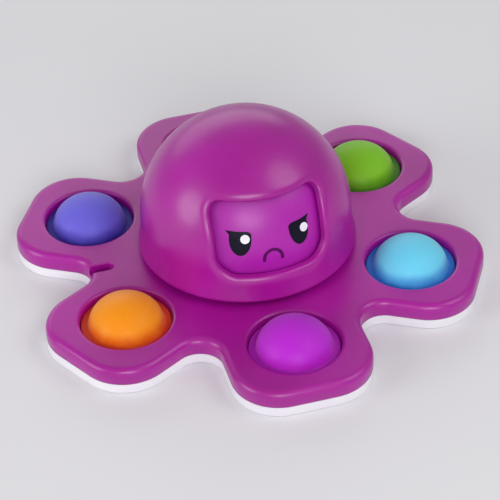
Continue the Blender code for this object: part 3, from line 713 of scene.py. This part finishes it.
def makeHelmet():
    # The dome is unrolled: a point lies at its length from the crown, in its own direction round the axis. On
    # that disc straight lines run from the window's edge to the rim, and each is folded back onto the dome.
    outside, inside, length = headProfiles()
    columns = head["columns"]
    x, z = windowEdge(columns)
    reach = np.interp(-z, -outside[:, 1], length)
    around = np.interp(-z, -outside[:, 1], outside[:, 0])
    edge = reach * np.exp(1j * np.arctan2(-np.sqrt(around**2 - x**2), x))
    middle = edge.mean()
    heading = (edge - middle) / np.abs(edge - middle)
    disc = length[-1]
    # where the line from the edge meets the disc's rim: |edge + t heading| = disc
    along = (edge.conjugate() * heading).real
    travel = -along + np.sqrt(along**2 - np.abs(edge) ** 2 + disc**2)
    lipTurn = np.linspace(np.pi / 2, 0, 13)
    onLip = window["lipWidth"] * (1 - np.sin(lipTurn))
    near = np.concatenate([onLip, window["lipWidth"] + np.array(head["pastLip"])])
    far = np.array(head["beforeRim"])
    between = np.linspace(0, 1, 34)[1:-1]
    span = travel - near[-1] - far[0]
    distance = np.concatenate([
        near[:, None] + 0 * travel, near[-1] + between[:, None] * span, travel - far[:, None],
    ])
    place = edge[None, :] + distance * heading[None, :]
    s, turn = np.clip(np.abs(place), 0, disc), np.angle(place)
    r, z = np.interp(s, length, outside[:, 0]), np.interp(s, length, outside[:, 1])
    slope = np.gradient(outside, length, axis=0)
    nr, nz = np.interp(s, length, -slope[:, 1]), np.interp(s, length, slope[:, 0])
    c, sn = np.cos(turn), np.sin(turn)
    skin = np.stack([r * c, r * sn, z], axis=-1)
    normal = np.stack([nr * c, nr * sn, nz], axis=-1)
    normal /= np.linalg.norm(normal, axis=-1, keepdims=True)
    # the window's edge rolls in by a quarter of an ellipse: depth times (1 - sqrt(1 - t^2)), where t is
    # 1 - away / width
    flat, growX, growZ = distanceToWindow(skin[..., 0], skin[..., 2])
    facing = np.minimum(normal[..., 1], -0.25)
    slant = np.sqrt(1 + ((growX * normal[..., 0] + growZ * normal[..., 2]) / facing) ** 2)
    away = np.where(skin[..., 1] < 0, flat * slant, window["lipWidth"])
    t = 1 - np.clip(away / window["lipWidth"], 0, 1)
    sink = window["lipDepth"] * (1 - np.sqrt(1 - t**2))
    outer = skin - normal * sink[..., None]
    ri, zi = np.interp(s, length, inside[:, 0]), np.interp(s, length, inside[:, 1])
    inner = np.stack([ri * c, ri * sn, zi], axis=-1)
    rows = np.concatenate([outer, inner[::-1]])
    piece = makePiece("domeHelmet", [gridPatch(rows, closeRows=True)], purplePlastic, sharpAngle=50)
    return stand(piece, "head", "purple_plastic", "helmet")


makeHelmet()

drum = {"inset": 3.0, "wall": 1.8, "base": 12.3, "bevel": 0.3, "steps": 192}


def makeDrum():
    # the helmet's shape moved in, so that it turns inside it
    a = np.linspace(0, np.pi / 2, 70)
    sphere = np.stack([np.sin(a), np.cos(a)], axis=-1)
    z = np.linspace(head["centre"], drum["base"] + drum["bevel"], 12)[1:]
    skins = []
    for inset in (drum["inset"], drum["inset"] + drum["wall"]):
        dome = (head["radius"] - inset) * sphere + [0, head["centre"]]
        skins.append(np.concatenate([dome, np.stack([flareRadius(z) - inset, z], axis=-1)]))
    rim = [(skins[0][-1][0] - drum["bevel"], drum["base"]), (skins[1][-1][0] + drum["bevel"], drum["base"])]
    profile = np.concatenate([skins[0], rim, skins[1][::-1]])
    piece = makePiece("faceDrum", [lathe(profile, drum["steps"])], drumPlastic, sharpAngle=50)
    return stand(piece, "drum", "drum_plastic", "face_drum")


makeDrum()
print("head made")


# The ink stands over the drum by above and reaches into it by below, in rings or strands across each shape
ink = {"above": 0.05, "below": 0.15, "rings": 7}
drumRadius = head["radius"] - drum["inset"]


def onDrum(side, up, turn, lift):
    # radius times (cos up cos side, cos up sin side, sin up): side from the face's middle, up from the centre
    east, north = np.radians(turn - 90 + side), np.radians(up)
    r = drumRadius + lift
    return np.stack([
        r * np.cos(north) * np.cos(east), r * np.cos(north) * np.sin(east),
        head["centre"] + r * np.sin(north) + 0 * east,
    ], axis=-1)


def printShape(name, side, up, turn, colour, layer=0):
    # a filled shape: rings from its middle out to its outline, over the same rings sunk into the drum
    share = np.linspace(0, 1, ink["rings"])[:, None]
    ringSide = side.mean() + share * (side - side.mean())
    ringUp = up.mean() + share * (up - up.mean())
    top = onDrum(ringSide, ringUp, turn, ink["above"] * (1 + layer))
    under = onDrum(ringSide, ringUp, turn, -ink["below"])
    piece = makePiece(name, [gridPatch(np.concatenate([top, under[::-1]]))], inks[colour])
    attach(piece, "drum")
    return piece


def printLine(name, side, up, width, turn, colour, layer=0):
    # a stroke: its middle line widened to both sides, narrowing as a half circle at each end
    stepSide, stepUp = np.gradient(side), np.gradient(up)
    size = np.hypot(stepSide, stepUp)
    along = np.cumsum(size) - size[0]
    fromEnd = np.minimum(along, along[-1] - along) / (width / 2)
    half = width / 2 * np.sqrt(1 - (1 - np.clip(fromEnd, 0, 1)) ** 2)
    strands = ink["rings"]
    across = np.concatenate([np.linspace(-1, 1, strands), np.linspace(1, -1, strands)])
    lift = np.concatenate([np.full(strands, ink["above"] * (1 + layer)), np.full(strands, -ink["below"])])
    lineSide = side[:, None] - stepUp[:, None] / size[:, None] * half[:, None] * across
    lineUp = up[:, None] + stepSide[:, None] / size[:, None] * half[:, None] * across
    piece = makePiece(name, [gridPatch(onDrum(lineSide, lineUp, turn, lift[None, :]))], inks[colour])
    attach(piece, "drum")
    return piece


def ellipse(side, up, width, height, count=64):
    # (side + width cos a, up + height sin a)
    a = fullTurn(count)
    return side + width * np.cos(a), up + height * np.sin(a)


def bow(side, up, width, rise, count=40):
    # an arch: up = rise times (1 - t^2), for t from -1 to 1 across its width
    t = np.linspace(-1, 1, count)
    return side + width * t, up + rise * (1 - t**2)


sulkyEye = {
    "left": 18.4, "right": 19.8, "lid": 23.2, "waist": 3.2, "bottom": 8.4, "halfWidth": 7.0, "tip": 2.6,
    "tipUp": 0.9,
}


def sulkyOutline(hand):
    # a lid cut straight across, drawn out to a lash at its outer end, over the lower half of an ellipse
    e = sulkyEye
    waist = e["lid"] - e["waist"]
    a = np.radians(np.linspace(12, -192, 40))
    bowl = np.stack([e["halfWidth"] * np.cos(a), waist + (waist - e["bottom"]) * np.sin(a)], axis=-1)
    outer = [(-e["halfWidth"] - 0.15, e["lid"] - 1.5), (-e["halfWidth"] - e["tip"], e["lid"] + e["tipUp"])]
    lid = [(-2.0, e["lid"] + 0.35), (2.5, e["lid"] + 0.3), (e["halfWidth"] - 1.7, e["lid"] + 0.1),
           (e["halfWidth"] - 0.5, e["lid"] - 0.9)]
    path = np.concatenate([bowl, outer, lid])
    along = np.concatenate([[0], np.cumsum(np.linalg.norm(np.diff(path, axis=0), axis=1))])
    at = np.linspace(0, along[-1], 160)
    side, up = np.interp(at, along, path[:, 0]), np.interp(at, along, path[:, 1])
    return (side - e["left"], up) if hand > 0 else (e["right"] - side, up)


# In degrees: shapes are (side, up, half width, half height) and bows (side, up, half width, rise). What both
# eyes share leaves out the side, which is apart, to the left and to the right.
sulky = {
    "glints": {"Left": (-15.4, 18.9, 2.9, 2.75), "Right": (23.4, 17.9, 2.9, 2.75)},
    "mouth": (1.1, 4.6, 5.5, 5.9),  # the part of this ellipse between the next two angles
    "mouthFrom": 196, "mouthTo": -16, "line": 2.0,
}


def makeSulkyFace(turn):
    # two hooded eyes, their glints, and a mouth along an arc of an ellipse
    for side, hand in (("Left", 1), ("Right", -1)):
        across, up = sulkyOutline(hand)
        printShape("sulkyEye" + side, across, up, turn, "eyeInk")
    for side, shape in sulky["glints"].items():
        printShape("sulkyGlint" + side, *ellipse(*shape), turn, "whiteInk", 1)
    t = np.radians(np.linspace(sulky["mouthFrom"], sulky["mouthTo"], 48))
    side, up, width, height = sulky["mouth"]
    across, up = side + width * np.cos(t), up + height * np.sin(t)
    printLine("sulkyMouth", across, up, sulky["line"], turn, "mouthInk")


happy = {
    "apart": 17, "eye": (17, 6.2, 7.4), "glintAcross": 2.2, "glint": (20, 2.4, 2.4),
    "tongue": (0, 5.2, 3.4, 2.6), "mouth": (0, 8.5, 8.0, -5.0), "line": 2.0,
}


def makeHappyFace(turn):
    # two oval eyes with glints, and a smile bowed down over a tongue
    for side, at in (("Left", -happy["apart"]), ("Right", happy["apart"])):
        printShape("happyEye" + side, *ellipse(at, *happy["eye"]), turn, "eyeInk")
        glint = ellipse(at + happy["glintAcross"], *happy["glint"])
        printShape("happyGlint" + side, *glint, turn, "whiteInk", 1)
    printShape("happyTongue", *ellipse(*happy["tongue"]), turn, "tongueInk")
    printLine("happyMouth", *bow(*happy["mouth"]), happy["line"], turn, "mouthInk", 1)


sleepy = {"apart": 17, "eye": (17.5, 6.5, -4.2), "mouth": (0, 7.0, 2.6, 3.0), "line": 2.0}


def makeSleepyFace(turn):
    # two closed eyes bowed down, and a small open mouth
    for side, at in (("Left", -sleepy["apart"]), ("Right", sleepy["apart"])):
        printLine("sleepyEye" + side, *bow(at, *sleepy["eye"]), sleepy["line"], turn, "eyeInk")
    printShape("sleepyMouth", *ellipse(*sleepy["mouth"]), turn, "mouthInk")


surprised = {
    "apart": 17, "eye": (15.2, 6.6, 7.0), "pupil": (14.8, 3.8, 4.2), "brow": (24.2, 4.6, 1.4),
    "mouth": (0, 4.8, 3.6, 4.0), "line": 1.5,
}


def makeSurprisedFace(turn):
    # two wide white eyes with pupils, brows bowed up, and a round mouth
    for side, at in (("Left", -surprised["apart"]), ("Right", surprised["apart"])):
        printShape("surprisedEye" + side, *ellipse(at, *surprised["eye"]), turn, "whiteInk")
        printShape("surprisedPupil" + side, *ellipse(at, *surprised["pupil"]), turn, "eyeInk", 1)
        printLine("surprisedBrow" + side, *bow(at, *surprised["brow"]), surprised["line"], turn, "eyeInk")
    printShape("surprisedMouth", *ellipse(*surprised["mouth"]), turn, "mouthInk")


makeSulkyFace(0)
makeHappyFace(90)
makeSleepyFace(180)
makeSurprisedFace(270)
print("faces printed")


# Each profile is (radius, height) points round the piece's section
turned = {"corner": 0.25, "steps": 96}
turnedParts = {
    "neckPlate": {
        "node": "neck_plate", "body": "head", "slot": "purple_plastic", "material": purplePlastic,
        "profile": [(2.8, 10.8), (2.8, 2.9), (3.9, 2.9), (3.9, 8.3), (4.9, 8.3), (4.9, 9.2), (27.6, 9.2),
                    (27.5, 10.8)],
    },
    "hubClip": {
        "node": "hub_clip", "body": "head", "slot": "steel", "material": steel,
        "profile": [(4.05, 3.2), (4.9, 3.2), (4.9, 3.7), (4.05, 3.7)],
    },
    "drumCarrier": {
        "node": "drum_carrier", "body": "drum", "slot": "purple_plastic", "material": drumPlastic,
        "profile": [(0, 13.8), (23.7, 13.8), (23.7, 12.3), (2.5, 12.3), (2.5, 3.0), (1.15, 3.0),
                    (1.15, 12.3), (0, 12.3)],
    },
    "outerRace": {
        "node": "bearing_outer_race", "body": "legs", "slot": "steel", "material": steel,
        "profile": [(8.0, 4.0), (8.0, 8.0), (6.7, 8.0), (6.7, 6.92), (6.95, 6.6), (7.1, 6.25), (7.15, 6.0),
                    (7.1, 5.75), (6.95, 5.4), (6.7, 5.08), (6.7, 4.0)],
    },
    "innerRace": {
        "node": "bearing_inner_race", "body": "head", "slot": "steel", "material": steel,
        "profile": [(4.0, 4.0), (5.3, 4.0), (5.3, 5.08), (5.05, 5.4), (4.9, 5.75), (4.85, 6.0), (4.9, 6.25),
                    (5.05, 6.6), (5.3, 6.92), (5.3, 8.0), (4.0, 8.0)],
    },
}


def makeTurnedPart(name, part):
    # the section with its corners eased, swept round the axis
    profile = smoothCorners(part["profile"], turned["corner"])
    piece = makePiece(name, [lathe(profile, turned["steps"], closeRows=True)], part["material"])
    return stand(piece, part["body"], part["slot"], part["node"])


for name, part in turnedParts.items():
    makeTurnedPart(name, part)


balls = {"count": 9, "circle": 6.0, "rows": 19, "steps": 28}


def makeBall(number):
    # a ground ball where its plain node lies: radius times (cos b cos a, cos b sin a, sin b)
    node = f"bearing_ball_{number}"
    low, high = (np.array(corner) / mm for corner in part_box(node))
    middle, radius = (low + high) / 2, (high[2] - low[2]) / 2
    b = np.linspace(-np.pi / 2, np.pi / 2, balls["rows"])
    profile = np.stack([radius * np.cos(b), middle[2] + radius * np.sin(b)], axis=-1)
    profile[[0, -1], 0] = 0
    spin = 2 * np.pi * (number - 1) / balls["count"]
    centre = (balls["circle"] * math.cos(spin), balls["circle"] * math.sin(spin))
    piece = makePiece(f"raceBall{number}", [lathe(profile, balls["steps"], centre)], steel)
    return stand(piece, "ball_cage", "steel", node)


for number in range(1, balls["count"] + 1):
    makeBall(number)

for name in ("bearing_cage", "detent_leaf"):
    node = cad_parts[name]
    node.data.materials.clear()
    node.data.materials.append(steel)
print("bearing made")


knob = {
    "low": 0.4, "high": 2.7, "radius": 16.0, "edge": 0.5, "topBevel": 0.3, "bore": 1.3, "boreBevel": 0.1,
    "dish": 12.0, "dishFlat": 5.5, "dishDepth": 0.9, "dishRows": 22,
    "notches": 18, "notchDepth": 0.75, "notchSharpness": 5, "notchStart": 2.2, "notchEnd": 0.2, "steps": 324,
}


def makeKnob():
    # the dish is full depth out to its flat and eases away by a smooth step; the rim is then drawn in by
    # ((1 + cos(notches a)) / 2) to a power, which gives narrow notches
    k = knob
    dishR = np.linspace(k["bore"] + k["boreBevel"], k["dish"], k["dishRows"])
    dishZ = k["low"] + k["dishDepth"] * (1 - smoothStep(dishR, k["dishFlat"], k["dish"]))
    under = np.stack([dishR, dishZ], axis=-1)
    edge = quarterArc(-90, 0, k["edge"], 5) + [k["radius"] - k["edge"], k["low"] + k["edge"]]
    top = [(k["radius"], k["high"] - k["topBevel"]), (k["radius"] - k["topBevel"], k["high"]),
           (k["bore"], k["high"]), (k["bore"], k["low"] + k["dishDepth"])]
    profile = np.concatenate([under, edge, top])
    points, faces = lathe(profile, k["steps"], closeRows=True)
    turn = np.arctan2(points[:, 1], points[:, 0])
    notch = ((1 + np.cos(k["notches"] * turn)) / 2) ** k["notchSharpness"] * k["notchDepth"]
    r = np.hypot(points[:, 0], points[:, 1])
    pull = 1 - notch * smoothStep(r, k["radius"] - k["notchStart"], k["radius"] - k["notchEnd"]) / r
    points = points * np.stack([pull, pull, np.ones_like(pull)], axis=-1)
    piece = makePiece("fingerKnob", [(points, faces)], whitePlastic)
    return stand(piece, "drum", "white_plastic", "finger_knob")


screw = {
    "headRadius": 2.1, "headRound": 0.25, "shank": 1.0, "thread": 0.1, "pitch": 0.55, "plain": 0.4,
    "threadStop": 1.0, "point": 0.8, "cross": 0.34, "crossLength": 1.25, "crossDepth": 0.55, "steps": 72,
}
shellScrew = {"headLow": 0.5, "seat": 1.6, "tip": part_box("shell_screw_1")[1].z / mm}
knobScrew = {"headLow": 0.5, "seat": 1.15, "tip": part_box("knob_screw")[1].z / mm}


def makeScrew(name, node, body, centre, heights):
    # from below: rings of the head, sunk where either bar of the cross lies, then the ridged shank and its
    # point; ridges stand out and in by turns, half a pitch apart
    s = screw
    headLow, seat, tip = heights["headLow"], heights["seat"], heights["tip"]
    rings = np.linspace(0, s["headRadius"] - s["headRound"], 20)
    edge = quarterArc(-90, 0, s["headRound"], 4)[1:]
    edge = edge + [s["headRadius"] - s["headRound"], headLow + s["headRound"]]
    ridges = np.arange(seat + s["plain"], tip - s["threadStop"], s["pitch"] / 2)
    swell = np.where(np.arange(len(ridges)) % 2, s["thread"], -s["thread"])
    shank = np.stack([s["shank"] + swell, ridges], axis=-1)
    face = np.stack([rings, np.full(len(rings), headLow)], axis=-1)
    shoulder = [(s["headRadius"], seat), (s["shank"], seat)]
    point = [(s["shank"] * 0.8, tip - s["point"]), (0, tip)]
    profile = np.concatenate([face, edge, shoulder, shank, point])
    points, faces = lathe(profile, s["steps"])
    x, y = points[:, 0], points[:, 1]
    bars = [
        (1 - smoothStep(np.abs(p), s["cross"] * 0.7, s["cross"] * 1.1))
        * (1 - smoothStep(np.abs(q), s["crossLength"] * 0.85, s["crossLength"]))
        for p, q in ((x, y), (y, x))
    ]
    onHead = points[:, 2] < headLow + 0.01
    sink = s["crossDepth"] * np.maximum(*bars) * onHead
    points = points + np.column_stack([np.full((len(points), 2), centre), sink])
    piece = makePiece(name, [(points, faces)], steel)
    return stand(piece, body, "steel", node)


makeKnob()
for number, centre in enumerate(screwCentres, 1):
    makeScrew(f"shellScrew{number}", f"shell_screw_{number}", "legs", centre, shellScrew)
makeScrew("knobScrew", "knob_screw", "drum", (0, 0), knobScrew)
print("knob and screws made")


# The floor's width, the lights' places and sizes and the height they aim at are in metres
studio = {
    "floor": 2.4, "floorColour": (222, 221, 226), "floorPale": (242, 241, 244),
    "skyColour": (255, 255, 255), "sky": 0.36, "aimHeight": 0.015,
}
lights = {
    "rear": {"at": (0.0, 0.95, 0.42), "size": (1.5, 0.55), "power": 2.6},
    "left": {"at": (-0.85, -0.12, 0.32), "size": (0.50, 0.50), "power": 2.6},
    "right": {"at": (0.56, -0.34, 0.70), "size": (0.60, 0.60), "power": 2.1},
    "front": {"at": (-0.22, -1.15, 0.55), "size": (0.8, 0.5), "power": 6.4},
}
camera = {
    "azimuth": -14.129, "elevation": 38.284, "distance": 587.55, "roll": -2.469,
    "aimRight": 0.644, "aimUp": -3.33, "lens": 152.6,
}


def makeFloor():
    # a level square at the part's lowest point, slightly clouded
    half = studio["floor"] / 2 / mm
    low = cadBounds[0].z / mm
    corners = np.array([[[-half, -half, low], [half, -half, low]], [[-half, half, low], [half, half, low]]])
    material, tree, shader, where = startMaterial("paleFloor", {"Specular IOR Level": 0.3})
    cloud = noise(tree, where, 3, 3)
    colour = blendColour(tree, cloud, linear(studio["floorColour"]), linear(studio["floorPale"]))
    roughness = remap(tree, noise(tree, where, 40, 3), 0, 1, 0.5, 0.6)
    grain = addBump(tree, noise(tree, where, 900, 2), 0.02, 0.05)
    connect(tree, shader, colour, roughness, grain)
    floor = makePiece("floor", [gridPatch(corners, closeColumns=False)], material)


def makeLight(name, light):
    # an oval area light turned to face the part's middle
    data = bpy.data.lights.new(name, "AREA")
    data.shape = "ELLIPSE"
    data.size, data.size_y = light["size"]
    data.energy = light["power"]
    lamp = bpy.data.objects.new(name, data)
    lamp.location = light["at"]
    lamp.rotation_mode = "QUATERNION"
    lamp.rotation_quaternion = (Vector((0, 0, studio["aimHeight"])) - lamp.location).to_track_quat("-Z", "Y")
    bpy.context.scene.collection.objects.link(lamp)


def makeSky():
    # even white light from all round
    world = bpy.data.worlds.new("studio")
    world.use_nodes = True
    background = world.node_tree.nodes["Background"]
    background.inputs["Color"].default_value = linear(studio["skyColour"])
    background.inputs["Strength"].default_value = studio["sky"]
    bpy.context.scene.world = world


def makeCamera():
    # the camera stands back from its aim along (sin az cos el, -cos az cos el, sin el), then rolls
    az, el, roll = (math.radians(camera[key]) for key in ("azimuth", "elevation", "roll"))
    back = Vector((math.sin(az) * math.cos(el), -math.cos(az) * math.cos(el), math.sin(el)))
    right = Vector((math.cos(az), math.sin(az), 0))
    up = back.cross(right)
    aim = Vector((0, 0, plateTop * mm)) + (right * camera["aimRight"] + up * camera["aimUp"]) * mm
    rolledRight = right * math.cos(roll) + up * math.sin(roll)
    rolledUp = up * math.cos(roll) - right * math.sin(roll)
    data = bpy.data.cameras.new("camera")
    data.lens = camera["lens"]
    data.sensor_width = 36
    data.clip_start, data.clip_end = 0.01, 20
    eye = bpy.data.objects.new("camera", data)
    turn = Matrix((rolledRight, rolledUp, back)).transposed()
    eye.matrix_world = Matrix.Translation(aim + back * camera["distance"] * mm) @ turn.to_4x4()
    bpy.context.scene.collection.objects.link(eye)
    bpy.context.scene.camera = eye


makeFloor()
for name, light in lights.items():
    makeLight(name, light)
makeSky()
makeCamera()
bpy.context.scene.view_settings.view_transform = "Standard"
print("studio made")
